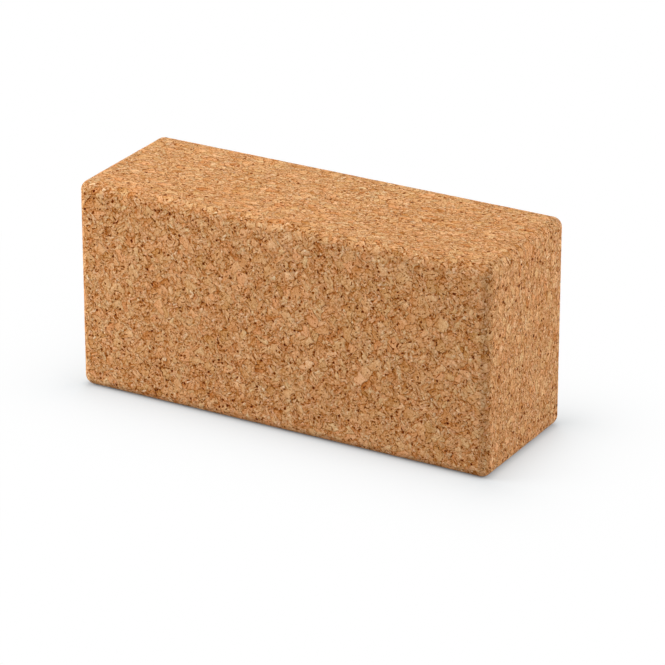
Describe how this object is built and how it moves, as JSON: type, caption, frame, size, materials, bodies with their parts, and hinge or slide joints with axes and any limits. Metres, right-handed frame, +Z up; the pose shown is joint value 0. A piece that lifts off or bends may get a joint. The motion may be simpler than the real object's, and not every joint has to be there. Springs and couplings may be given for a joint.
{
  "type": "yoga block",
  "caption": "Solid brick of pressed cork granules with rounded edges, which stands on any face to support a hand, foot or hip in yoga.",
  "frame": {"origin": "centre of the underside, the long narrow face that the block stands on in the picture", "axes": "+X along the length, +Y through the thickness from the broad front face to the broad back face, +Z up"},
  "size_m": [0.22, 0.075, 0.105],
  "materials": {
    "cork": "matte, sanded cork granules in binder, with fine open pits"
  },
  "bodies": {
    "root": {"cork_block": "cork"}
  },
  "joints": []
}
